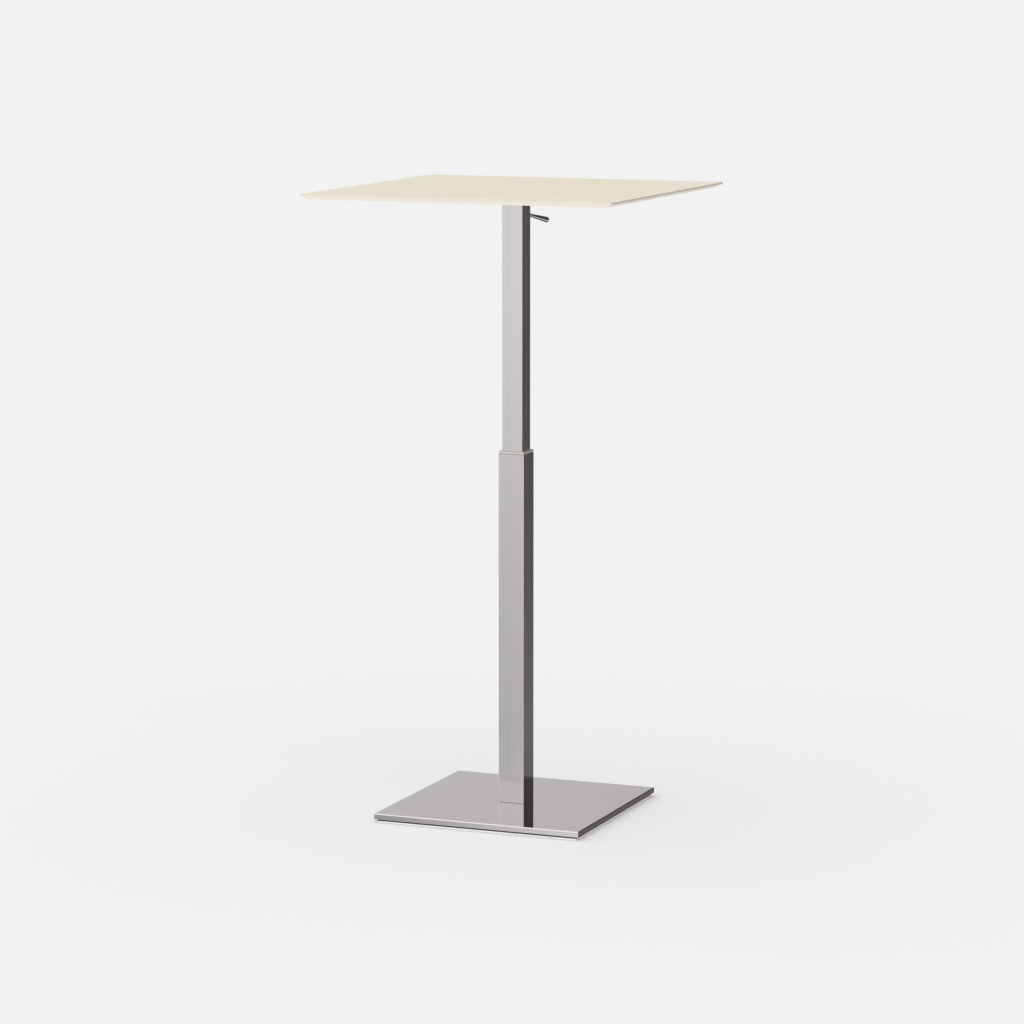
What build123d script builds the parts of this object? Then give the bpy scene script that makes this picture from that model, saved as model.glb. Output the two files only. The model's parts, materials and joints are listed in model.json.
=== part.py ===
from build123d import *
import math
import os

os.makedirs("parts", exist_ok=True)

# Millimetres. Z = 0 is the floor, the front faces -Y and the column stands on the Z axis.
TABLE_HEIGHT = 1150.0
LIFT_TRAVEL = 400.0
FIT_GAP = 0.05
SLIDE_GAP = 0.3

# Table top, with a vertical band above an undercut edge.
TOP_SIDE = 590.0
TOP_THICK = 10.0
TOP_BAND = 3.2
TOP_UNDERCUT = 16.0
TOP_CORNER_R = 2.0
TOP_ARRIS_R = 0.8

# Base: glide pad, ballast plate and polished plate.
BASE_SIDE = 400.0
BASE_THICK = 10.0
BASE_CORNER_R = 1.5
BASE_ARRIS = 1.4
BASE_UNDER_ARRIS = 0.3
PAD_THICK = 2.0
PAD_INSET = 5.0
BALLAST_THICK = 4.0
BALLAST_INSET = 5.0

# Countersunk screws: shank radius, head radius, head height, length.
BALLAST_SCREW = (2.5, 4.6, 2.5, 9.0)
COLUMN_SCREW = (4.0, 7.4, 4.0, 24.0)
ANCHOR_SCREW = (5.0, 9.2, 5.0, 38.0)
BALLAST_SCREW_AT = 150.0
COLUMN_SCREW_AT = 13.0
SCREW_POINT = 0.8
SOCKET_SIZE = 0.7
SOCKET_DEPTH = 0.55

# Square column tubes and the bushes between them.
LOWER_SIDE = 50.0
LOWER_LEN = 650.0
LOWER_CORNER_R = 1.2
UPPER_SIDE = 40.0
UPPER_CORNER_R = 1.0
TUBE_WALL = 2.0
TUBE_EDGE = 0.8
BORE_CORNER_R = 0.8
PLUG_CORNER_R = 1.5
OVERLAP = 200.0
COLUMN_FOOT_H = 18.0
COLLAR_H = 5.0
COLLAR_CORNER_R = 2.4
COLLAR_EDGE_R = 1.8
SLEEVE_H = 40.0
FOOT_BUSH_H = 34.0
FOOT_BUSH_LIP = 6.0
FOOT_BUSH_MOUTH = 33.0

# Post that holds the rod of the gas spring.
FLANGE_R = 21.0
FLANGE_H = 6.0
FLANGE_SPIGOT_H = 8.0
POST_R = 15.0
POST_WALL = 3.0
POST_CAP_H = 6.0
BUMP_R = 13.0
BUMP_H = 18.0
BUMP_GAP = 2.0

# Gas spring, with its rod down.
ROD_R = 5.0
ROD_END_R = 4.0
NUT_H = 6.0
NUT_R = 7.5
ROD_TAIL = 2.0
CYLINDER_R = 14.0
CYLINDER_WALL = 1.5
CYLINDER_LEN = 480.0
CYLINDER_TOP_Z = 1086.0
WIPER_H = 3.0
GLAND_H = 22.0
SPACER_H = 10.0
SPACER_GAP = 0.1
PISTON_H = 16.0
PISTON_STOP_GAP = 2.0
GROOVE_AT = 5.5
GROOVE_H = 5.0
GROOVE_DEPTH = 2.0
VALVE_HEAD_H = 24.0
VALVE_PIN_R = 2.5
VALVE_PIN_DOME_R = 4.0
VALVE_PIN_Z = 1070.0

# Head block and release lever. The lever turns about X at the pivot.
HEAD_BELOW_SEAT = 24.0
HEAD_ABOVE_SEAT = 30.0
HEAD_PASSAGE_R = 6.0
HEAD_SLOT_RISE = 11.0
HEAD_SLOT_FRONT = 10.0
PIVOT_Y = 11.0
PIVOT_Z = 1106.0
PIVOT_R = 2.5
PIVOT_LEN = 35.4
ROCKER_WIDTH = 12.0
ROCKER_DROP = 4.5
ROCKER_RISE = 5.5
ROCKER_TOE = 18.0
ROCKER_TOE_H = 6.0
ROCKER_HALF_NECK = 5.0
ROCKER_REACH = 20.0
WALL_SLOT_WIDTH = 13.2
WALL_SLOT_BELOW = 8.0
WALL_SLOT_ABOVE = 6.5
WALL_SLOT_R = 2.0
LEVER_SLOPE = 9.7
LEVER_ROOT_R = 3.0
LEVER_TIP_R = 5.3
LEVER_TIP_EDGE_R = 2.0
LEVER_SPIGOT = 11.0
LEVER_FLARE_AT = 48.0
LEVER_LEN = 143.5

# Mounting plate, and its screws and inserts in the underside of the top.
PLATE_SIDE = 200.0
PLATE_THICK = 4.0
PLATE_CORNER_R = 12.0
PLATE_HOLE_AT = 85.0
PLATE_HOLE_R = 3.3
TOP_SCREW_R = 3.0
TOP_SCREW_HEAD_R = 6.0
TOP_SCREW_HEAD_H = 3.5
TOP_SCREW_HEAD_EDGE = 1.2
TOP_SCREW_LEN = 10.0
TOP_SOCKET_R = 2.2
TOP_SOCKET_DEPTH = 2.0
INSERT_R = 4.5
INSERT_LEN = 7.0
INSERT_HOLE_DEPTH = 7.5

# Levels and sizes that follow from those above.
BALLAST_Z = PAD_THICK
BASE_Z = BALLAST_Z + BALLAST_THICK
COLUMN_Z = BASE_Z + BASE_THICK
FLANGE_Z = COLUMN_Z + COLUMN_FOOT_H
POST_Z = FLANGE_Z + FLANGE_H
LOWER_TOP_Z = COLUMN_Z + LOWER_LEN
LOWER_BORE = LOWER_SIDE - 2 * TUBE_WALL
UNDERSIDE_Z = TABLE_HEIGHT - TOP_THICK
PLATE_Z = UNDERSIDE_Z - PLATE_THICK
UPPER_FOOT_Z = LOWER_TOP_Z - OVERLAP
UPPER_BORE = UPPER_SIDE - 2 * TUBE_WALL
CYLINDER_Z = CYLINDER_TOP_Z - CYLINDER_LEN
POST_TOP_Z = CYLINDER_Z - LIFT_TRAVEL - BUMP_GAP - BUMP_H
CYLINDER_BORE_R = CYLINDER_R - CYLINDER_WALL
GLAND_Z = CYLINDER_Z + WIPER_H
PISTON_Z = GLAND_Z + GLAND_H + PISTON_STOP_GAP
PISTON_R = CYLINDER_BORE_R - FIT_GAP
HEAD_SLOT_Z = CYLINDER_TOP_Z + HEAD_SLOT_RISE
PIN_TOP_Z = PIVOT_Z - ROCKER_DROP - SLIDE_GAP
LEVER_PLANE = Plane(
    origin=(0, PIVOT_Y, PIVOT_Z),
    x_dir=(0, math.cos(math.radians(LEVER_SLOPE)), -math.sin(math.radians(LEVER_SLOPE))),
    z_dir=(1, 0, 0),
)


def finish(builder, label):
    """Label a finished piece and write its STEP file."""
    builder.part.label = label
    export_step(builder.part, f"parts/{label}.step")


def corners(offset, z=0.0):
    """Corners of a square centred on the column, at height z."""
    return [(x, y, z) for x in (-offset, offset) for y in (-offset, offset)]


def sink_angle(screw):
    """Full angle of a countersunk head, in degrees."""
    shank_r, head_r, head_h, length = screw
    return 2 * math.degrees(math.atan((head_r - shank_r) / head_h))


def sink_holes(screw, points, depth):
    """Countersunk holes that open downwards at the given points."""
    shank_r, head_r, head_h, length = screw
    with Locations(*[Plane(origin=point, z_dir=(0, 0, -1)) for point in points]):
        CounterSinkHole(shank_r + SLIDE_GAP, head_r + SLIDE_GAP, depth, sink_angle(screw))


def countersunk(screw):
    """A flat-head screw standing on its head at the origin, with a hexagon socket."""
    shank_r, head_r, head_h, length = screw
    with BuildPart() as blank:
        with BuildSketch(Plane.XZ):
            with BuildLine():
                Polyline(
                    (0, 0),
                    (head_r, 0),
                    (shank_r, head_h),
                    (shank_r, length - SCREW_POINT),
                    (shank_r - SCREW_POINT, length),
                    (0, length),
                    close=True,
                )
            make_face()
        revolve(axis=Axis.Z)
        with BuildSketch(Plane.XY):
            RegularPolygon(shank_r * SOCKET_SIZE, 6)
        extrude(amount=head_h * SOCKET_DEPTH, mode=Mode.SUBTRACT)
    return blank.part


def ring(outer_r, inner_r):
    """Sketch of a plain ring round the column's axis."""
    Circle(outer_r)
    Circle(inner_r, mode=Mode.SUBTRACT)


def square_ring(outer, outer_r, inner, inner_r):
    """Sketch of a square tube's section with rounded corners."""
    RectangleRounded(outer, outer, outer_r)
    RectangleRounded(inner, inner, inner_r, mode=Mode.SUBTRACT)


def hexagon_nut():
    """Sketch of a hexagon nut for the rod's ends."""
    RegularPolygon(NUT_R, 6)
    Circle(ROD_END_R + FIT_GAP, mode=Mode.SUBTRACT)


# Base

with BuildPart() as glide_pad:
    with BuildSketch(Plane.XY):
        RectangleRounded(BASE_SIDE - 2 * PAD_INSET, BASE_SIDE - 2 * PAD_INSET, BASE_CORNER_R)
    extrude(amount=PAD_THICK)
finish(glide_pad, "glide_pad")

with BuildPart() as ballast_plate:
    with BuildSketch(Plane.XY.offset(BALLAST_Z)):
        Rectangle(BASE_SIDE - 2 * BALLAST_INSET, BASE_SIDE - 2 * BALLAST_INSET)
    extrude(amount=BALLAST_THICK)
    sink_holes(BALLAST_SCREW, corners(BALLAST_SCREW_AT, BALLAST_Z), BALLAST_THICK)
finish(ballast_plate, "ballast_plate")

ballast_screw = countersunk(BALLAST_SCREW)
with BuildPart() as ballast_screws:
    with Locations(*corners(BALLAST_SCREW_AT, BALLAST_Z)):
        add(ballast_screw)
finish(ballast_screws, "ballast_screws")

with BuildPart() as base_plate:
    with BuildSketch(Plane.XY.offset(BASE_Z)):
        RectangleRounded(BASE_SIDE, BASE_SIDE, BASE_CORNER_R)
    extrude(amount=BASE_THICK)
    chamfer(base_plate.edges().group_by(Axis.Z)[-1], BASE_ARRIS)
    chamfer(base_plate.edges().group_by(Axis.Z)[0], BASE_UNDER_ARRIS)
    sink_holes(COLUMN_SCREW, corners(COLUMN_SCREW_AT, BASE_Z), BASE_THICK)
    sink_holes(ANCHOR_SCREW, [(0, 0, BASE_Z)], BASE_THICK)
    tapped = [Plane(origin=point, z_dir=(0, 0, -1)) for point in corners(BALLAST_SCREW_AT, BASE_Z)]
    with Locations(*tapped):
        Hole(BALLAST_SCREW[0] + FIT_GAP, BALLAST_SCREW[3] - BALLAST_THICK + SCREW_POINT)
finish(base_plate, "base_plate")

column_screw = countersunk(COLUMN_SCREW)
with BuildPart() as column_screws:
    with Locations(*corners(COLUMN_SCREW_AT, BASE_Z)):
        add(column_screw)
finish(column_screws, "column_screws")

anchor_bolt = countersunk(ANCHOR_SCREW)
with BuildPart() as anchor_screw:
    with Locations((0, 0, BASE_Z)):
        add(anchor_bolt)
finish(anchor_screw, "anchor_screw")

with BuildPart() as column_foot:
    with BuildSketch(Plane.XY.offset(COLUMN_Z)):
        RectangleRounded(LOWER_BORE, LOWER_BORE, PLUG_CORNER_R)
    extrude(amount=COLUMN_FOOT_H)
    with Locations(*corners(COLUMN_SCREW_AT, FLANGE_Z)):
        Hole(COLUMN_SCREW[0] + FIT_GAP)
    with Locations((0, 0, FLANGE_Z)):
        Hole(ANCHOR_SCREW[0] + FIT_GAP)
finish(column_foot, "column_foot")

with BuildPart() as lower_tube:
    with BuildSketch(Plane.XY.offset(COLUMN_Z)):
        square_ring(LOWER_SIDE, LOWER_CORNER_R, LOWER_BORE, BORE_CORNER_R)
    extrude(amount=LOWER_LEN)
    tube_ends = lower_tube.faces().filter_by(Axis.Z)
    chamfer([face.outer_wire().edges() for face in tube_ends], TUBE_EDGE)
finish(lower_tube, "lower_tube")

# Sleeve in the lower tube's mouth, with a collar of the tube's own size on top.
with BuildPart() as guide_bush:
    with BuildSketch(Plane.XY.offset(LOWER_TOP_Z)):
        RectangleRounded(LOWER_SIDE, LOWER_SIDE, COLLAR_CORNER_R)
    extrude(amount=COLLAR_H)
    fillet(guide_bush.edges().group_by(Axis.Z)[-1], COLLAR_EDGE_R)
    fillet(guide_bush.edges().group_by(Axis.Z)[0], COLLAR_EDGE_R)
    with BuildSketch(Plane.XY.offset(LOWER_TOP_Z - SLEEVE_H)):
        RectangleRounded(LOWER_BORE, LOWER_BORE, PLUG_CORNER_R)
    extrude(amount=SLEEVE_H)
    with BuildSketch(Plane.XY.offset(LOWER_TOP_Z - SLEEVE_H)):
        RectangleRounded(UPPER_SIDE + 2 * SLIDE_GAP, UPPER_SIDE + 2 * SLIDE_GAP, UPPER_CORNER_R + SLIDE_GAP)
    extrude(amount=SLEEVE_H + COLLAR_H, mode=Mode.SUBTRACT)
finish(guide_bush, "guide_bush")

with BuildPart() as anchor_flange:
    with BuildSketch(Plane.XY.offset(FLANGE_Z)):
        ring(FLANGE_R, ANCHOR_SCREW[0] + FIT_GAP)
    extrude(amount=FLANGE_H)
    with BuildSketch(Plane.XY.offset(POST_Z)):
        ring(POST_R - POST_WALL - FIT_GAP, ANCHOR_SCREW[0] + FIT_GAP)
    extrude(amount=FLANGE_SPIGOT_H)
finish(anchor_flange, "anchor_flange")

with BuildPart() as anchor_post:
    with BuildSketch(Plane.XY.offset(POST_Z)):
        ring(POST_R, POST_R - POST_WALL)
    extrude(amount=POST_TOP_Z - POST_CAP_H - POST_Z)
    with BuildSketch(Plane.XY.offset(POST_TOP_Z - POST_CAP_H)):
        ring(POST_R, ROD_END_R + FIT_GAP)
    extrude(amount=POST_CAP_H)
finish(anchor_post, "anchor_post")

with BuildPart() as rod_nut:
    with BuildSketch(Plane.XY.offset(POST_TOP_Z - POST_CAP_H - NUT_H)):
        hexagon_nut()
    extrude(amount=NUT_H)
finish(rod_nut, "rod_nut")

with BuildPart() as bump_stop:
    with BuildSketch(Plane.XY.offset(POST_TOP_Z)):
        ring(BUMP_R, ROD_R + SLIDE_GAP)
    extrude(amount=BUMP_H)
finish(bump_stop, "bump_stop")

# The rod has a thinner end at each side: one in the post's cap, one through the piston.
with BuildPart() as piston_rod:
    with Locations((0, 0, POST_TOP_Z)):
        Cylinder(ROD_R, PISTON_Z - POST_TOP_Z, align=(Align.CENTER, Align.CENTER, Align.MIN))
    with Locations((0, 0, PISTON_Z)):
        Cylinder(ROD_END_R, PISTON_H + NUT_H, align=(Align.CENTER, Align.CENTER, Align.MIN))
    with Locations((0, 0, POST_TOP_Z)):
        Cylinder(ROD_END_R, POST_CAP_H + NUT_H + ROD_TAIL, align=(Align.CENTER, Align.CENTER, Align.MAX))
finish(piston_rod, "piston_rod")

with BuildPart() as piston:
    with BuildSketch(Plane.XY.offset(PISTON_Z)):
        ring(PISTON_R, ROD_END_R + FIT_GAP)
    extrude(amount=PISTON_H)
    with BuildSketch(Plane.XY.offset(PISTON_Z + GROOVE_AT)):
        Circle(CYLINDER_R)
        Circle(PISTON_R - GROOVE_DEPTH, mode=Mode.SUBTRACT)
    extrude(amount=GROOVE_H, mode=Mode.SUBTRACT)
finish(piston, "piston")

with BuildPart() as piston_seal:
    with BuildSketch(Plane.XY.offset(PISTON_Z + GROOVE_AT)):
        ring(PISTON_R, PISTON_R - GROOVE_DEPTH + FIT_GAP)
    extrude(amount=GROOVE_H)
finish(piston_seal, "piston_seal")

with BuildPart() as piston_nut:
    with BuildSketch(Plane.XY.offset(PISTON_Z + PISTON_H)):
        hexagon_nut()
    extrude(amount=NUT_H)
finish(piston_nut, "piston_nut")

# Lift

# The back wall has a slot for the release lever.
with BuildPart() as upper_tube:
    with BuildSketch(Plane.XY.offset(UPPER_FOOT_Z)):
        square_ring(UPPER_SIDE, UPPER_CORNER_R, UPPER_BORE, BORE_CORNER_R)
    extrude(amount=PLATE_Z - UPPER_FOOT_Z)
    with BuildSketch(Plane.XZ.offset(-UPPER_SIDE / 2)):
        with Locations((0, PIVOT_Z + (WALL_SLOT_ABOVE - WALL_SLOT_BELOW) / 2)):
            RectangleRounded(WALL_SLOT_WIDTH, WALL_SLOT_ABOVE + WALL_SLOT_BELOW, WALL_SLOT_R)
    extrude(amount=TUBE_WALL, mode=Mode.SUBTRACT)
finish(upper_tube, "upper_tube")

with BuildPart() as foot_bush:
    bush_side = LOWER_BORE - 2 * SLIDE_GAP
    bush_z = UPPER_FOOT_Z - FOOT_BUSH_LIP
    with BuildSketch(Plane.XY.offset(bush_z)):
        square_ring(bush_side, PLUG_CORNER_R, FOOT_BUSH_MOUTH, PLUG_CORNER_R)
    extrude(amount=FOOT_BUSH_LIP)
    with BuildSketch(Plane.XY.offset(UPPER_FOOT_Z)):
        square_ring(bush_side, PLUG_CORNER_R, UPPER_SIDE, BORE_CORNER_R)
    extrude(amount=FOOT_BUSH_H)
finish(foot_bush, "foot_bush")

with BuildPart() as gas_cylinder:
    with BuildSketch(Plane.XY.offset(CYLINDER_Z)):
        ring(CYLINDER_R, CYLINDER_BORE_R)
    extrude(amount=CYLINDER_LEN)
finish(gas_cylinder, "gas_cylinder")

with BuildPart() as cylinder_gland:
    with BuildSketch(Plane.XY.offset(GLAND_Z)):
        ring(PISTON_R, ROD_R + FIT_GAP)
    extrude(amount=GLAND_H)
finish(cylinder_gland, "cylinder_gland")

with BuildPart() as rod_wiper:
    with BuildSketch(Plane.XY.offset(CYLINDER_Z)):
        ring(PISTON_R, ROD_R + FIT_GAP)
    extrude(amount=WIPER_H)
finish(rod_wiper, "rod_wiper")

with BuildPart() as cylinder_spacer:
    with BuildSketch(Plane.XY.offset(CYLINDER_Z)):
        ring(UPPER_BORE / 2 - SPACER_GAP, CYLINDER_R + FIT_GAP)
    extrude(amount=SPACER_H)
finish(cylinder_spacer, "cylinder_spacer")

with BuildPart() as valve_head:
    with BuildSketch(Plane.XY.offset(CYLINDER_TOP_Z - VALVE_HEAD_H)):
        ring(PISTON_R, VALVE_PIN_R + FIT_GAP)
    extrude(amount=VALVE_HEAD_H)
finish(valve_head, "valve_head")

# Seats the cylinder from below and holds the lever's pivot in a slot open to the back.
with BuildPart() as head_block:
    with BuildSketch(Plane.XY.offset(CYLINDER_TOP_Z - HEAD_BELOW_SEAT)):
        RectangleRounded(UPPER_BORE, UPPER_BORE, PLUG_CORNER_R)
    extrude(amount=HEAD_BELOW_SEAT + HEAD_ABOVE_SEAT)
    with BuildSketch(Plane.XY.offset(CYLINDER_TOP_Z - HEAD_BELOW_SEAT)):
        Circle(CYLINDER_R + FIT_GAP)
    extrude(amount=HEAD_BELOW_SEAT, mode=Mode.SUBTRACT)
    with BuildSketch(Plane.XY.offset(CYLINDER_TOP_Z)):
        Circle(HEAD_PASSAGE_R)
    extrude(amount=HEAD_SLOT_RISE, mode=Mode.SUBTRACT)
    with BuildSketch(Plane.XY.offset(HEAD_SLOT_Z)):
        with Locations((0, (UPPER_BORE / 2 - HEAD_SLOT_FRONT) / 2)):
            Rectangle(ROCKER_WIDTH + 2 * SLIDE_GAP, UPPER_BORE / 2 + HEAD_SLOT_FRONT)
    extrude(amount=HEAD_ABOVE_SEAT - HEAD_SLOT_RISE, mode=Mode.SUBTRACT)
    with BuildSketch(Plane.YZ):
        with Locations((PIVOT_Y, PIVOT_Z)):
            Circle(PIVOT_R + FIT_GAP)
    extrude(amount=UPPER_SIDE, both=True, mode=Mode.SUBTRACT)
finish(head_block, "head_block")

with BuildPart() as pivot_pin:
    with BuildSketch(Plane.YZ):
        with Locations((PIVOT_Y, PIVOT_Z)):
            Circle(PIVOT_R)
    extrude(amount=PIVOT_LEN / 2, both=True)
finish(pivot_pin, "pivot_pin")

with BuildPart() as mounting_plate:
    with BuildSketch(Plane.XY.offset(PLATE_Z)):
        RectangleRounded(PLATE_SIDE, PLATE_SIDE, PLATE_CORNER_R)
        with Locations(*corners(PLATE_HOLE_AT)):
            Circle(PLATE_HOLE_R, mode=Mode.SUBTRACT)
    extrude(amount=PLATE_THICK)
finish(mounting_plate, "mounting_plate")

with BuildPart() as top_screws:
    with Locations(*corners(PLATE_HOLE_AT, PLATE_Z)):
        Cylinder(TOP_SCREW_HEAD_R, TOP_SCREW_HEAD_H, align=(Align.CENTER, Align.CENTER, Align.MAX))
        Cylinder(TOP_SCREW_R, TOP_SCREW_LEN, align=(Align.CENTER, Align.CENTER, Align.MIN))
    fillet(top_screws.edges().group_by(Axis.Z)[0], TOP_SCREW_HEAD_EDGE)
    with BuildSketch(Plane.XY.offset(PLATE_Z - TOP_SCREW_HEAD_H)):
        with Locations(*corners(PLATE_HOLE_AT)):
            RegularPolygon(TOP_SOCKET_R, 6)
    extrude(amount=TOP_SOCKET_DEPTH, mode=Mode.SUBTRACT)
finish(top_screws, "top_screws")

with BuildPart() as threaded_inserts:
    with BuildSketch(Plane.XY.offset(UNDERSIDE_Z)):
        with Locations(*corners(PLATE_HOLE_AT)):
            Circle(INSERT_R)
            Circle(TOP_SCREW_R + FIT_GAP, mode=Mode.SUBTRACT)
    extrude(amount=INSERT_LEN)
finish(threaded_inserts, "threaded_inserts")

with BuildPart() as table_top:
    with BuildSketch(Plane.XY.offset(UNDERSIDE_Z)):
        RectangleRounded(TOP_SIDE - 2 * TOP_UNDERCUT, TOP_SIDE - 2 * TOP_UNDERCUT, TOP_CORNER_R)
    with BuildSketch(Plane.XY.offset(TABLE_HEIGHT - TOP_BAND)):
        RectangleRounded(TOP_SIDE, TOP_SIDE, TOP_CORNER_R)
    loft()
    with BuildSketch(Plane.XY.offset(TABLE_HEIGHT - TOP_BAND)):
        RectangleRounded(TOP_SIDE, TOP_SIDE, TOP_CORNER_R)
    extrude(amount=TOP_BAND)
    fillet(table_top.edges().group_by(Axis.Z)[-1], TOP_ARRIS_R)
    with BuildSketch(Plane.XY.offset(UNDERSIDE_Z)):
        with Locations(*corners(PLATE_HOLE_AT)):
            Circle(INSERT_R + FIT_GAP)
    extrude(amount=INSERT_HOLE_DEPTH, mode=Mode.SUBTRACT)
finish(table_top, "table_top")

# Release

# Level under its toe, which presses the valve pin; its neck slopes down with the handle.
with BuildPart() as release_rocker:
    slope = math.tan(math.radians(LEVER_SLOPE))
    half_neck = ROCKER_HALF_NECK / math.cos(math.radians(LEVER_SLOPE))
    reach = LEVER_PLANE.from_local_coords((ROCKER_REACH, ROCKER_HALF_NECK, 0))
    heel = LEVER_PLANE.from_local_coords((ROCKER_REACH, -ROCKER_HALF_NECK, 0))
    with BuildSketch(Plane.YZ.offset(-ROCKER_WIDTH / 2)):
        with BuildLine():
            Polyline(
                (PIVOT_Y - ROCKER_TOE, PIVOT_Z - ROCKER_DROP),
                (PIVOT_Y - (half_neck - ROCKER_DROP) / slope, PIVOT_Z - ROCKER_DROP),
                (heel.Y, heel.Z),
                (reach.Y, reach.Z),
                (PIVOT_Y - (ROCKER_RISE - half_neck) / slope, PIVOT_Z + ROCKER_RISE),
                (PIVOT_Y - ROCKER_TOE / 2, PIVOT_Z + ROCKER_RISE),
                (PIVOT_Y - ROCKER_TOE, PIVOT_Z - ROCKER_DROP + ROCKER_TOE_H),
                close=True,
            )
        make_face()
    extrude(amount=ROCKER_WIDTH)
    with BuildSketch(Plane.YZ.offset(-ROCKER_WIDTH / 2)):
        with Locations((PIVOT_Y, PIVOT_Z)):
            Circle(PIVOT_R + FIT_GAP)
    extrude(amount=ROCKER_WIDTH, mode=Mode.SUBTRACT)
    neck_end = LEVER_PLANE.from_local_coords((ROCKER_REACH, 0, 0))
    with Locations(Plane(origin=neck_end, z_dir=LEVER_PLANE.x_dir)):
        Hole(LEVER_ROOT_R + FIT_GAP, LEVER_SPIGOT)
finish(release_rocker, "release_rocker")

# Turned handle: a thin root that flares towards a blunt tip.
with BuildPart() as lever_handle:
    with BuildSketch(LEVER_PLANE):
        with BuildLine():
            root = ROCKER_REACH - LEVER_SPIGOT
            Polyline(
                (LEVER_LEN, LEVER_TIP_R),
                (LEVER_LEN, 0),
                (root, 0),
                (root, LEVER_ROOT_R),
                (LEVER_FLARE_AT, LEVER_ROOT_R),
                close=True,
            )
        make_face()
    revolve(axis=Axis(LEVER_PLANE.origin, LEVER_PLANE.x_dir))
    fillet(lever_handle.edges().filter_by(GeomType.CIRCLE).sort_by(Axis.Y)[-1], LEVER_TIP_EDGE_R)
finish(lever_handle, "lever_handle")

with BuildPart() as valve_pin:
    dome_h = VALVE_PIN_DOME_R - math.sqrt(VALVE_PIN_DOME_R**2 - VALVE_PIN_R**2)
    with BuildSketch(Plane.XZ):
        with BuildLine():
            shoulder = (VALVE_PIN_R, PIN_TOP_Z - dome_h)
            Polyline((0, PIN_TOP_Z), (0, VALVE_PIN_Z), (VALVE_PIN_R, VALVE_PIN_Z), shoulder)
            RadiusArc(shoulder, (0, PIN_TOP_Z), -VALVE_PIN_DOME_R)
        make_face()
    revolve(axis=Axis.Z)
finish(valve_pin, "valve_pin")
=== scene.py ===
"""Looks of the height-adjustable pedestal table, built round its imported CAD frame."""

import json
import math

import bpy
from mathutils import Euler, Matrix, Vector

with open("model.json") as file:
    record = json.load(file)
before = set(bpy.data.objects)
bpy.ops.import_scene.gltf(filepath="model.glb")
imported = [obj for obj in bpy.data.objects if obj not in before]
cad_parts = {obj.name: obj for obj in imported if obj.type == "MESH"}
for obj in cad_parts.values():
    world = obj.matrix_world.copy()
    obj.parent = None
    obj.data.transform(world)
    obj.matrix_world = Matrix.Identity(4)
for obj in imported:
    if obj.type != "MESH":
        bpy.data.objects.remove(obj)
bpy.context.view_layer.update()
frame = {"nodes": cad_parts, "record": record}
nodes = frame["nodes"]

# Camera, in metres and degrees. Azimuth is measured from the front, towards the right.
CAMERA_AZIMUTH = 21.93
CAMERA_DISTANCE = 7.165
CAMERA_SIDESTEP = -0.0075
CAMERA_HEIGHT = 1.631
CAMERA_PITCH = 8.53
CAMERA_LENS = 138.9
SENSOR_WIDTH = 36.0
CLIP_END = 400.0

# Floor, a little below the pad so that the two don't meet.
FLOOR_RADIUS = 200.0
FLOOR_SIDES = 128
FLOOR_DROP = 0.0003
FLOOR_COLOR = (0.824, 0.858, 0.873)

# Studio. Levels are radiances, heights are sines of the elevation, and azimuths are degrees from +Y
# towards +X. A ramp is a list of (height, level). A window is (starts, full, fades, ends).
BACKDROP_LEVEL = 0.887
STUDIO_PEAK = 1.5
FRONT_LEVELS = (
    (-1.00, 1.22), (-0.50, 1.12), (-0.30, 0.72), (-0.212, 0.57), (-0.173, 0.69), (-0.140, 0.79),
    (-0.100, 0.96), (0.00, 0.97), (0.12, 0.98), (0.20, 1.01), (0.35, 1.02), (0.60, 1.20), (1.00, 1.40),
)
BACK_LEVELS = (
    (-1.00, 1.22), (-0.50, 1.12), (-0.30, 0.80), (-0.05, 0.70), (0.15, 0.63), (0.25, 0.63),
    (0.40, 0.90), (0.70, 1.20), (1.00, 1.40),
)
DARK_LEVELS = (
    (-1.00, 1.22), (-0.75, 1.05), (-0.62, 0.60), (-0.54, 0.20), (-0.42, 0.16), (-0.30, 0.13),
    (-0.222, 0.14), (-0.205, 0.185), (-0.173, 0.135), (-0.140, 0.108), (-0.050, 0.108), (0.20, 0.07),
    (0.50, 0.08), (0.75, 1.00), (1.00, 1.40),
)
BEHIND = (-0.35, 0.35)
BRIGHT_TINT = (1.035, 1.0, 0.992)
DARK_TINT = (1.08, 1.0, 0.965)

# Floor in front of the table: its level changes from left to right, in (x, factor) pairs.
FLOOR_SWEEP = ((-0.394, 0.78), (-0.350, 1.50))
FLOOR_SWEEP_HEIGHTS = (-0.50, -0.32, -0.219, -0.213)

# Dark flag behind on the right; its left edge moves in over a range of heights.
DARK_AZIMUTHS = (-24.0, 2.0, 100.0, 122.0)
DARK_AZIMUTHS_WIDE = (-50.0, -26.0, 100.0, 122.0)
DARK_NARROW_HEIGHTS = (-0.06, 0.02, 0.23, 0.32)

# Two strips of light at the front corners, and a low one that glints on the lever.
GLOW_LEVEL = 0.55
GLOW_HEIGHTS = (-0.36, -0.26, 0.30, 0.50)
GLOW_LEFT = (-135.0, -118.0, -72.0, -58.0)
GLOW_RIGHT = (116.0, 128.0, 150.0, 166.0)
GLINT_LEVEL = 1.30
GLINT_HEIGHTS = (-0.54, -0.49, -0.36, -0.31)
GLINT_AZIMUTHS = (1.0, 6.0, 22.0, 28.0)

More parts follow.
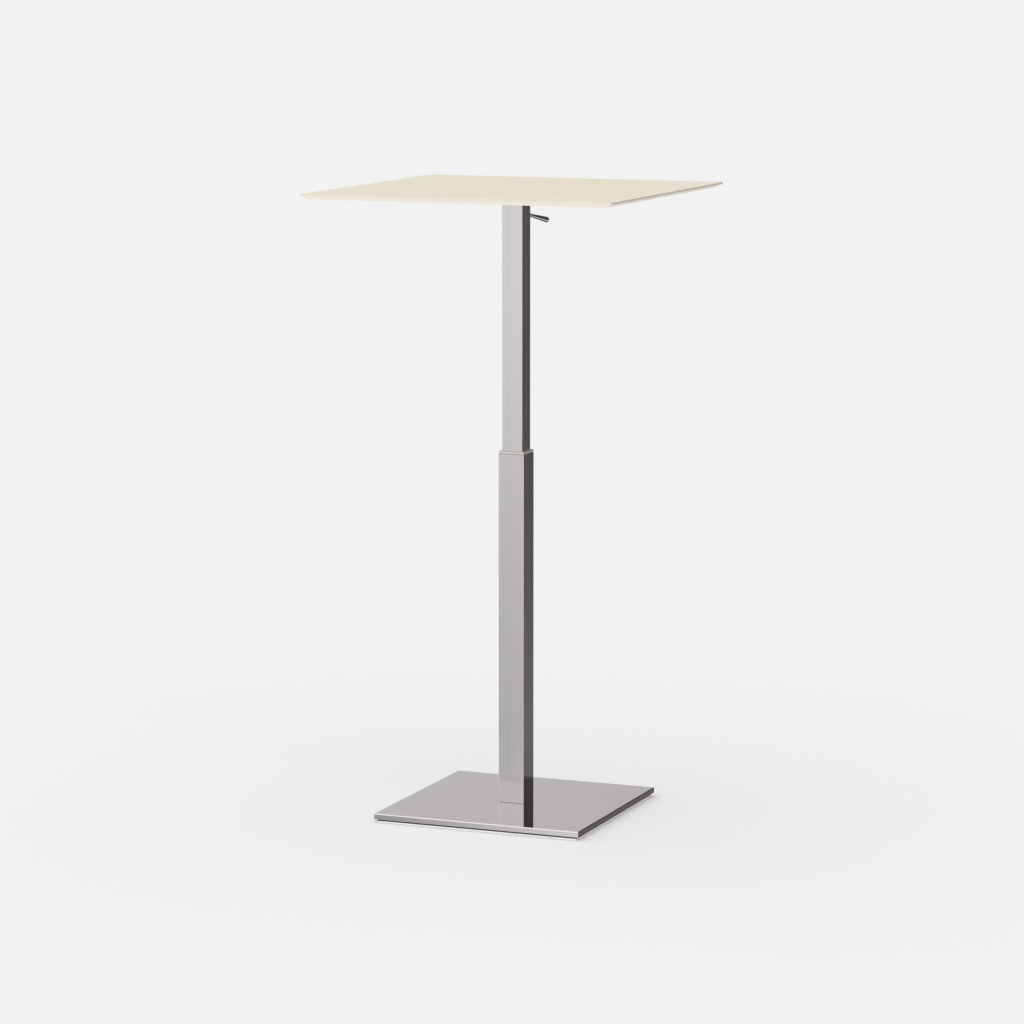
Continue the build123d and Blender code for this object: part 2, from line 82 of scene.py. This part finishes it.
# Surface detail. Spans are the part of a noise's range that is spread over a whole blend. Scales
# are per metre and reliefs are in metres.
FINE_SPAN = (0.30, 0.70)
BROAD_SPAN = (0.35, 0.65)
FIGURE_SPAN = (0.38, 0.62)
PORE_SPAN = (0.62, 0.75)
SCRATCH_SPAN = (0.66, 0.80)
SPECK_SPAN = (0.70, 0.78)
SMUDGE_SCALE = 9.0
HAZE_SCALE = 5.0
SPECK_SCALE = 900.0
GRIT_SCALE = 2600.0
SPARK_SCALE = 1800.0
SPARK_CLOUD_SCALE = 25.0
PEEL_SCALE = 420.0
PEEL_CLOUD_SCALE = 18.0
CLOUD_SCALE = 6.0
BROAD_GRAIN_SHARE = 0.12
SCRATCH_RELIEF = 0.000002
GRIT_RELIEF = 0.000012
PORE_RELIEF = 0.00001
SPARK_RELIEF = 0.00001

# Grain of each metal finish: noise scale along X, Y and Z, small along the strokes.
TUBE_GRAIN = (420.0, 420.0, 7.0)
TURNED_GRAIN = (30.0, 30.0, 2200.0)
MILLED_GRAIN = (700.0, 60.0, 700.0)
LEVER_GRAIN = (600.0, 14.0, 600.0)
ZINC_GRAIN = (900.0, 900.0, 900.0)

# Grain of the base's scratches in both directions, and of the laminate's figure and pores.
HAIRLINE_GRAIN = (1500.0, 18.0, 1.0)
CROSS_GRAIN = (30.0, 1300.0, 1.0)
CROSS_SHIFT = (3.0, 7.0, 0.0)
FIGURE_GRAIN = (3.0, 45.0, 3.0)
PORE_GRAIN = (160.0, 1400.0, 160.0)

# Rise of the surface normal over which the laminate's face gives way to painted shade on its sides,
# and the painted shade to a painted highlight on the undercut and underside.
SIDE_SHADE_FACING = (0.6, 0.9)
UNDER_HIGHLIGHT_FACING = (-0.35, -0.15)


def material(name):
    """An empty node material and its node tree."""
    made = bpy.data.materials.new(name)
    made.use_nodes = True
    tree = made.node_tree
    tree.nodes.clear()
    return made, tree


def node(tree, kind, **settings):
    """A new node; a setting named after an input goes to that input, others to the node itself."""
    made = tree.nodes.new(kind)
    for key, value in settings.items():
        if hasattr(made, key) and key not in made.inputs:
            setattr(made, key, value)
        else:
            made.inputs[key].default_value = value
    return made


def math_node(tree, operation, first, second=None, third=None):
    """A Math node whose inputs are numbers or sockets; returns its output socket."""
    made = node(tree, "ShaderNodeMath", operation=operation)
    for index, value in enumerate((first, second, third)):
        if value is None:
            continue
        if isinstance(value, bpy.types.NodeSocket):
            tree.links.new(value, made.inputs[index])
        else:
            made.inputs[index].default_value = value
    return made.outputs[0]


def remap(tree, value, low, high, to_low, to_high, smooth=False):
    """A Map Range from [low, high] to [to_low, to_high]; returns its output socket."""
    made = node(tree, "ShaderNodeMapRange")
    made.interpolation_type = "SMOOTHSTEP" if smooth else "LINEAR"
    tree.links.new(value, made.inputs["Value"])
    made.inputs["From Min"].default_value = low
    made.inputs["From Max"].default_value = high
    made.inputs["To Min"].default_value = to_low
    made.inputs["To Max"].default_value = to_high
    return made.outputs["Result"]


def place(tree, scale=(1, 1, 1), location=(0, 0, 0)):
    """Object coordinates in metres, moved and scaled; returns the vector socket."""
    coordinates = node(tree, "ShaderNodeTexCoord")
    mapping = node(tree, "ShaderNodeMapping")
    mapping.inputs["Scale"].default_value = scale
    mapping.inputs["Location"].default_value = location
    tree.links.new(coordinates.outputs["Object"], mapping.inputs["Vector"])
    return mapping.outputs["Vector"]


def noise(tree, vector, scale, detail=3.0, roughness=0.55):
    """Noise texture; returns its Fac socket."""
    made = node(tree, "ShaderNodeTexNoise")
    made.inputs["Scale"].default_value = scale
    made.inputs["Detail"].default_value = detail
    made.inputs["Roughness"].default_value = roughness
    tree.links.new(vector, made.inputs["Vector"])
    return made.outputs["Fac"]


def mix_color(tree, factor, first, second):
    """Mix of two colours by a factor socket; returns the colour socket."""
    made = node(tree, "ShaderNodeMix", data_type="RGBA")
    tree.links.new(factor, made.inputs["Factor"])
    for socket, value in ((made.inputs[6], first), (made.inputs[7], second)):
        if isinstance(value, bpy.types.NodeSocket):
            tree.links.new(value, socket)
        else:
            socket.default_value = (*value, 1.0)
    return made.outputs[2]


def bump(tree, height, distance, normal=None):
    """Bump from a height socket, with its relief in metres; returns the normal socket."""
    made = node(tree, "ShaderNodeBump")
    made.inputs["Strength"].default_value = 1.0
    made.inputs["Distance"].default_value = distance
    tree.links.new(height, made.inputs["Height"])
    if normal is not None:
        tree.links.new(normal, made.inputs["Normal"])
    return made.outputs["Normal"]


def principled(tree, color=None, roughness=None, normal=None, **uniform):
    """A Principled shader wired to the output; uniform values go straight to its sockets."""
    shader = node(tree, "ShaderNodeBsdfPrincipled")
    output = node(tree, "ShaderNodeOutputMaterial")
    for socket, value in (("Base Color", color), ("Roughness", roughness), ("Normal", normal)):
        if isinstance(value, bpy.types.NodeSocket):
            tree.links.new(value, shader.inputs[socket])
        elif value is not None:
            shader.inputs[socket].default_value = (*value, 1.0) if socket == "Base Color" else value
    for socket, value in uniform.items():
        shader.inputs[socket.replace("_", " ")].default_value = value
    tree.links.new(shader.outputs["BSDF"], output.inputs["Surface"])
    return shader


def brushed_metal(name, color, roughness, grain, relief):
    """Metal with fine grain, slow changes of tone and a few smudges."""
    made, tree = material(name)
    fine = noise(tree, place(tree, grain), 1.0, detail=4.0, roughness=0.65)
    coarse_grain = tuple(value * BROAD_GRAIN_SHARE for value in grain)
    broad = noise(tree, place(tree, coarse_grain), 1.0, detail=2.0)
    smudge = noise(tree, place(tree), SMUDGE_SCALE)
    darker = tuple(value * 0.95 for value in color)
    tint = mix_color(tree, remap(tree, broad, *FINE_SPAN, 0.0, 1.0), darker, color)
    rough = math_node(tree, "ADD", remap(tree, fine, *FINE_SPAN, -0.03, 0.03), roughness)
    rough = math_node(tree, "ADD", rough, remap(tree, smudge, *BROAD_SPAN, -0.015, 0.02))
    principled(tree, tint, rough, bump(tree, fine, relief), Metallic=1.0)
    return made


def polished_steel(name, color, roughness):
    """Mirror-polished plate: faint haze, hairline scratches and a little dust."""
    made, tree = material(name)
    haze = noise(tree, place(tree), HAZE_SCALE)
    hairline = noise(tree, place(tree, HAIRLINE_GRAIN), 1.0, roughness=0.7)
    cross = noise(tree, place(tree, CROSS_GRAIN, CROSS_SHIFT), 1.0, roughness=0.7)
    scratch = math_node(tree, "MAXIMUM", hairline, cross)
    scratch = remap(tree, scratch, *SCRATCH_SPAN, 0.0, 1.0)
    speck = noise(tree, place(tree), SPECK_SCALE, detail=1.0)
    speck = remap(tree, speck, *SPECK_SPAN, 0.0, 1.0)
    rough = math_node(tree, "ADD", remap(tree, haze, *BROAD_SPAN, 0.0, 0.02), roughness)
    rough = math_node(tree, "ADD", rough, math_node(tree, "MULTIPLY", scratch, 0.04))
    rough = math_node(tree, "ADD", rough, math_node(tree, "MULTIPLY", speck, 0.10))
    duller = tuple(value * 0.96 for value in color)
    tint = mix_color(tree, remap(tree, haze, *FINE_SPAN, 0.0, 1.0), duller, color)
    principled(tree, tint, rough, bump(tree, scratch, SCRATCH_RELIEF), Metallic=1.0)
    return made


def laminate(name, face, deep, side_painted_shade, under_painted_highlight):
    """Matte cream laminate: faint long figure, mottling and pores; painted shade on the sides and a
    painted highlight on the undercut and underside.
    """
    made, tree = material(name)
    cloud = noise(tree, place(tree), CLOUD_SCALE, detail=4.0)
    figure = noise(tree, place(tree, FIGURE_GRAIN), 1.0, detail=5.0, roughness=0.6)
    pores = noise(tree, place(tree, PORE_GRAIN), 1.0)
    halves = (math_node(tree, "MULTIPLY", part, 0.5) for part in (cloud, figure))
    blend = math_node(tree, "ADD", *halves)
    surface = mix_color(tree, remap(tree, blend, *FIGURE_SPAN, 0.0, 1.0), deep, face)
    surface = mix_color(tree, remap(tree, pores, *PORE_SPAN, 0.0, 0.35), surface, deep)
    geometry = node(tree, "ShaderNodeNewGeometry")
    facing = node(tree, "ShaderNodeSeparateXYZ")
    tree.links.new(geometry.outputs["Normal"], facing.inputs[0])
    # Painted shade and highlight: the sides take a darker copy of the laminate's colour, and downward
    # faces take a paler one.
    side_shade_mask = remap(tree, facing.outputs["Z"], *SIDE_SHADE_FACING, 1.0, 0.0, smooth=True)
    under_highlight_mask = remap(tree, facing.outputs["Z"], *UNDER_HIGHLIGHT_FACING, 1.0, 0.0, smooth=True)
    color = mix_color(tree, side_shade_mask, surface, mix_color(tree, under_highlight_mask, side_painted_shade, under_painted_highlight))
    grit = noise(tree, place(tree), GRIT_SCALE, detail=2.0)
    rough = math_node(tree, "ADD", remap(tree, grit, *FINE_SPAN, -0.04, 0.04), 0.50)
    normal = bump(tree, pores, PORE_RELIEF, normal=bump(tree, grit, GRIT_RELIEF))
    principled(tree, color, rough, normal, Specular_IOR_Level=0.40)
    return made


def moulded_plastic(name, color, roughness, **uniform):
    """Moulded plastic or rubber with a fine spark-eroded texture and slight mottling."""
    made, tree = material(name)
    grain = noise(tree, place(tree), SPARK_SCALE, detail=2.0)
    cloud = noise(tree, place(tree), SPARK_CLOUD_SCALE)
    shade = tuple(value * 0.90 for value in color)
    tint = mix_color(tree, remap(tree, cloud, *BROAD_SPAN, 0.0, 1.0), shade, color)
    rough = math_node(tree, "ADD", remap(tree, grain, *FINE_SPAN, -0.05, 0.05), roughness)
    principled(tree, tint, rough, bump(tree, grain, SPARK_RELIEF), **uniform)
    return made


def painted_steel(name, color, roughness, peel=0.00003):
    """Sprayed or powder-coated steel with orange peel and a few dull patches."""
    made, tree = material(name)
    skin = noise(tree, place(tree), PEEL_SCALE, detail=2.0)
    cloud = noise(tree, place(tree), PEEL_CLOUD_SCALE)
    lighter = tuple(min(1.0, value * 1.35 + 0.004) for value in color)
    tint = mix_color(tree, remap(tree, cloud, *BROAD_SPAN, 0.0, 1.0), color, lighter)
    rough = math_node(tree, "ADD", remap(tree, cloud, *BROAD_SPAN, -0.05, 0.06), roughness)
    principled(tree, tint, rough, bump(tree, skin, peel))
    return made


def make_camera():
    """Camera at the photograph's viewing angle."""
    data = bpy.data.cameras.new("camera")
    data.lens = CAMERA_LENS
    data.sensor_width = SENSOR_WIDTH
    data.clip_end = CLIP_END
    camera = bpy.data.objects.new("camera", data)
    turn = Euler((0, 0, math.radians(CAMERA_AZIMUTH)))
    place_at = Vector((CAMERA_SIDESTEP, -CAMERA_DISTANCE, CAMERA_HEIGHT))
    place_at.rotate(turn)
    camera.location = place_at
    camera.rotation_euler = (math.radians(90 - CAMERA_PITCH), 0, math.radians(CAMERA_AZIMUTH))
    bpy.context.scene.collection.objects.link(camera)
    bpy.context.scene.camera = camera


def make_floor():
    """Plain pale floor that the camera sees from above; the studio alone lights the table."""
    bpy.ops.mesh.primitive_circle_add(
        vertices=FLOOR_SIDES, radius=FLOOR_RADIUS, fill_type="NGON", location=(0, 0, -FLOOR_DROP)
    )
    floor = bpy.context.object
    floor.name = "floor"
    made, tree = material("floor_paint")
    diffuse = node(tree, "ShaderNodeBsdfDiffuse")
    diffuse.inputs["Color"].default_value = (*FLOOR_COLOR, 1.0)
    clear = node(tree, "ShaderNodeBsdfTransparent")
    geometry = node(tree, "ShaderNodeNewGeometry")
    blend = node(tree, "ShaderNodeMixShader")
    output = node(tree, "ShaderNodeOutputMaterial")
    tree.links.new(geometry.outputs["Backfacing"], blend.inputs[0])
    tree.links.new(diffuse.outputs[0], blend.inputs[1])
    tree.links.new(clear.outputs[0], blend.inputs[2])
    tree.links.new(blend.outputs[0], output.inputs["Surface"])
    floor.data.materials.append(made)
    floor.visible_glossy = False
    floor.visible_diffuse = False
    floor.visible_transmission = False
    floor.visible_shadow = False


def levels(tree, height, stops):
    """Radiance, as a share of STUDIO_PEAK, that follows (height, level) stops."""
    ramp = node(tree, "ShaderNodeValToRGB")
    elements = ramp.color_ramp.elements
    while len(elements) < len(stops):
        elements.new(1.0)
    for element, (at, level) in zip(elements, stops):
        element.position = (at + 1) / 2
        element.color = (level / STUDIO_PEAK,) * 3 + (1.0,)
    tree.links.new(remap(tree, height, -1.0, 1.0, 0.0, 1.0), ramp.inputs["Fac"])
    return ramp.outputs["Color"]


def blend_values(tree, factor, first, second):
    """first at factor 0 and second at factor 1."""
    return math_node(tree, "MULTIPLY_ADD", factor, math_node(tree, "SUBTRACT", second, first), first)


def window(tree, value, starts, full, fades, ends):
    """1 between full and fades, 0 before starts and after ends, smooth in between."""
    rise = remap(tree, value, starts, full, 0.0, 1.0, smooth=True)
    fall = remap(tree, value, fades, ends, 1.0, 0.0, smooth=True)
    return math_node(tree, "MULTIPLY", rise, fall)


def make_world():
    """Bright studio with a dark flag behind on the right and strips of light at the corners."""
    world = bpy.data.worlds.new("studio")
    bpy.context.scene.world = world
    world.use_nodes = True
    tree = world.node_tree
    tree.nodes.clear()
    coordinates = node(tree, "ShaderNodeTexCoord")
    direction = node(tree, "ShaderNodeSeparateXYZ")
    tree.links.new(coordinates.outputs["Generated"], direction.inputs[0])
    right, ahead, height = direction.outputs
    front = levels(tree, height, FRONT_LEVELS)
    back = levels(tree, height, BACK_LEVELS)
    dark = levels(tree, height, DARK_LEVELS)
    (sweep_from, sweep_low), (sweep_to, sweep_high) = FLOOR_SWEEP
    sweep = remap(tree, right, sweep_from, sweep_to, sweep_low, sweep_high)
    swept = window(tree, height, *FLOOR_SWEEP_HEIGHTS)
    front = blend_values(tree, swept, front, math_node(tree, "MULTIPLY", front, sweep))
    behind = remap(tree, ahead, *BEHIND, 0.0, 1.0, smooth=True)
    value = blend_values(tree, behind, front, back)
    azimuth = math_node(tree, "DEGREES", math_node(tree, "ARCTAN2", right, ahead))
    narrow = window(tree, azimuth, *DARK_AZIMUTHS)
    wide = window(tree, azimuth, *DARK_AZIMUTHS_WIDE)
    flag = blend_values(tree, window(tree, height, *DARK_NARROW_HEIGHTS), wide, narrow)
    value = blend_values(tree, flag, value, dark)
    glint = window(tree, azimuth, *GLINT_AZIMUTHS)
    glint = math_node(tree, "MULTIPLY", glint, window(tree, height, *GLINT_HEIGHTS))
    value = math_node(tree, "MULTIPLY_ADD", glint, GLINT_LEVEL / STUDIO_PEAK, value)
    sides = (window(tree, azimuth, *GLOW_LEFT), window(tree, azimuth, *GLOW_RIGHT))
    strips = math_node(tree, "ADD", *sides)
    strips = math_node(tree, "MULTIPLY", strips, window(tree, height, *GLOW_HEIGHTS))
    value = math_node(tree, "MULTIPLY_ADD", strips, GLOW_LEVEL / STUDIO_PEAK, value)
    tint = mix_color(tree, flag, BRIGHT_TINT, DARK_TINT)
    light = node(tree, "ShaderNodeVectorMath", operation="SCALE")
    tree.links.new(tint, light.inputs[0])
    tree.links.new(value, light.inputs["Scale"])
    path = node(tree, "ShaderNodeLightPath")
    seen = node(tree, "ShaderNodeBackground", Strength=1.0)
    seen.inputs["Color"].default_value = (BACKDROP_LEVEL,) * 3 + (1.0,)
    lit = node(tree, "ShaderNodeBackground", Strength=STUDIO_PEAK)
    tree.links.new(light.outputs[0], lit.inputs["Color"])
    blend = node(tree, "ShaderNodeMixShader")
    output = node(tree, "ShaderNodeOutputWorld")
    tree.links.new(path.outputs["Is Camera Ray"], blend.inputs[0])
    tree.links.new(lit.outputs[0], blend.inputs[1])
    tree.links.new(seen.outputs[0], blend.inputs[2])
    tree.links.new(blend.outputs[0], output.inputs["Surface"])


def paint_nodes():
    """Gives every CAD node the material of its slot in the record."""
    made = {
        "pad": moulded_plastic("pad_sheet", (0.93, 0.93, 0.92), 0.55),
        "collar": moulded_plastic("collar_plastic", (0.585, 0.58, 0.575), 0.30, Metallic=0.45),
        "bump_rubber": moulded_plastic("bump_rubber", (0.02, 0.02, 0.02), 0.7),
        "seal_rubber": moulded_plastic("seal_rubber", (0.015, 0.015, 0.015), 0.5),
        "slide_plastic": moulded_plastic("slide_plastic", (0.75, 0.75, 0.72), 0.45),
        # The ballast is a black part, and its near-black colour also paints the shadow in the gap
        # under the base plate.
        "ballast": painted_steel("ballast_painted_shadow", (0.012, 0.012, 0.012), 0.6),
        "foot_steel": painted_steel("black_oxide", (0.03, 0.03, 0.032), 0.5),
        "cylinder_paint": painted_steel("cylinder_black", (0.014, 0.014, 0.015), 0.30),
        "plate_paint": painted_steel("powder_black", (0.020, 0.020, 0.021), 0.45, peel=0.00006),
        "rocker_steel": painted_steel("rocker_black", (0.02, 0.02, 0.02), 0.4),
        "polished_base": polished_steel("polished_steel", (0.650, 0.648, 0.650), 0.02),
        "laminate": laminate(
            "cream_laminate",
            face=(0.804, 0.789, 0.671),
            deep=(0.776, 0.752, 0.617),
            # The side colour is painted shade and the under colour is a painted highlight, not colours
            # of the laminate itself.
            side_painted_shade=(0.690, 0.677, 0.600),
            under_painted_highlight=(0.800, 0.785, 0.700),
        ),
    }
    # Slot, name, colour, roughness, grain and relief of each metal finish.
    metals = (
        ("lower_tube", "lower_tube_steel", (0.645, 0.643, 0.645), 0.11, TUBE_GRAIN, 0.000002),
        ("upper_tube", "upper_tube_steel", (0.655, 0.653, 0.660), 0.11, TUBE_GRAIN, 0.000002),
        ("lever_chrome", "lever_steel", (0.30, 0.295, 0.29), 0.07, LEVER_GRAIN, 0.000002),
        ("zinc_screws", "zinc", (0.60, 0.60, 0.58), 0.32, ZINC_GRAIN, 0.000004),
        ("rod_chrome", "rod_chrome", (0.78, 0.78, 0.79), 0.08, TURNED_GRAIN, 0.000001),
        ("gas_alloy", "turned_alloy", (0.72, 0.72, 0.73), 0.25, TURNED_GRAIN, 0.000003),
        ("head_alloy", "milled_alloy", (0.70, 0.70, 0.71), 0.30, MILLED_GRAIN, 0.000003),
        ("insert_brass", "insert_brass", (0.75, 0.56, 0.25), 0.28, TURNED_GRAIN, 0.000003),
    )
    for slot, *finish in metals:
        made[slot] = brushed_metal(*finish)
    slots = {part["node"]: part["material_slot"] for part in frame["record"]["subparts"]}
    for name, piece in nodes.items():
        piece.data.materials.clear()
        piece.data.materials.append(made[slots[name]])


make_camera()
make_floor()
make_world()
paint_nodes()
bpy.context.scene.view_settings.view_transform = "Standard"
